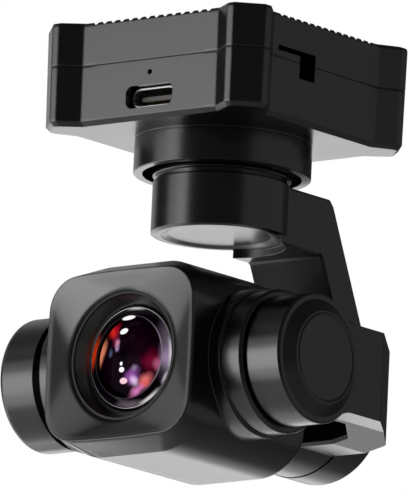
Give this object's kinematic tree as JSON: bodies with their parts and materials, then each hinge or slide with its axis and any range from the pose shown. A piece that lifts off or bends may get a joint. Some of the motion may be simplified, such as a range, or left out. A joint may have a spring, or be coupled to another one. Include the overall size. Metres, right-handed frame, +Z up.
{
  "type": "camera gimbal",
  "caption": "Small drone camera on a yaw, roll and pitch gimbal, hung from a square control box with corner mounting posts.",
  "frame": {"origin": "centre of the mounting plane: the four corner post tops of the control box", "axes": "+Z up along the yaw axis and out of the mounting plane, -Y the way the lens looks, +X the side of the pitch motor"},
  "size_m": [0.0577, 0.0539, 0.071],
  "materials": {
    "cover": "satin black anodised",
    "housing": "satin black anodised",
    "collar": "satin black anodised",
    "yaw_arm": "satin black anodised",
    "yoke": "satin black anodised",
    "camera": "satin black anodised",
    "end_cap": "satin black anodised",
    "motor_cap": "satin black anodised",
    "hood": "satin black",
    "lens_ring": "polished black",
    "barrel": "matt black",
    "glass": "coated",
    "screw": "blackened",
    "board": "solder mask",
    "chip": "matt",
    "receptacle": "nickel plated",
    "tongue": "matt",
    "socket": "matt",
    "core": "lacquered laminations",
    "copper": "enamelled wire",
    "bearing": "ground",
    "magnet": "nickel plated",
    "shaft": "ground"
  },
  "bodies": {
    "base": {"top_cover": "cover", "lower_housing": "housing", "cover_screws": "screw", "main_board": "board", "board_chips": "chip", "usb_shell": "receptacle", "usb_tongue": "tongue", "card_socket": "socket", "yaw_collar": "collar", "yaw_stator": "core", "yaw_windings": "copper", "yaw_bearings": "bearing"},
    "yaw_body": {"yaw_arm": "yaw_arm", "yaw_cap": "motor_cap", "yaw_magnets": "magnet", "yaw_shaft": "shaft", "roll_stator": "core", "roll_windings": "copper", "roll_bearings": "bearing", "roll_motor_cap": "motor_cap", "roll_drive_board": "board"},
    "roll_body": {"roll_yoke": "yoke", "roll_magnets": "magnet", "roll_shaft": "shaft", "pitch_stator": "core", "pitch_windings": "copper", "pitch_bearings": "bearing", "pitch_motor_cap": "motor_cap"},
    "camera": {"camera_shell": "camera", "rear_cover": "camera", "rear_screws": "screw", "lens_hood": "hood", "lens_ring": "lens_ring", "front_glass": "glass", "lens_barrel": "barrel", "inner_lens": "glass", "sensor_board": "board", "pitch_magnets": "magnet", "pitch_shaft": "shaft", "end_cap": "end_cap"}
  },
  "joints": [
    {"name": "yaw", "type": "hinge", "parent": "base", "child": "yaw_body", "pos_m": [0, 0, -0.028], "axis": [0, 0, 1], "range_deg": [-160, 160]},
    {"name": "roll", "type": "hinge", "parent": "yaw_body", "child": "roll_body", "pos_m": [0, 0.0177, -0.0557], "axis": [0, 1, 0], "range_deg": [-25, 25]},
    {"name": "pitch", "type": "hinge", "parent": "roll_body", "child": "camera", "pos_m": [0, -0.0079, -0.0557], "axis": [-1, 0, 0], "range_deg": [-120, 45]}
  ]
}
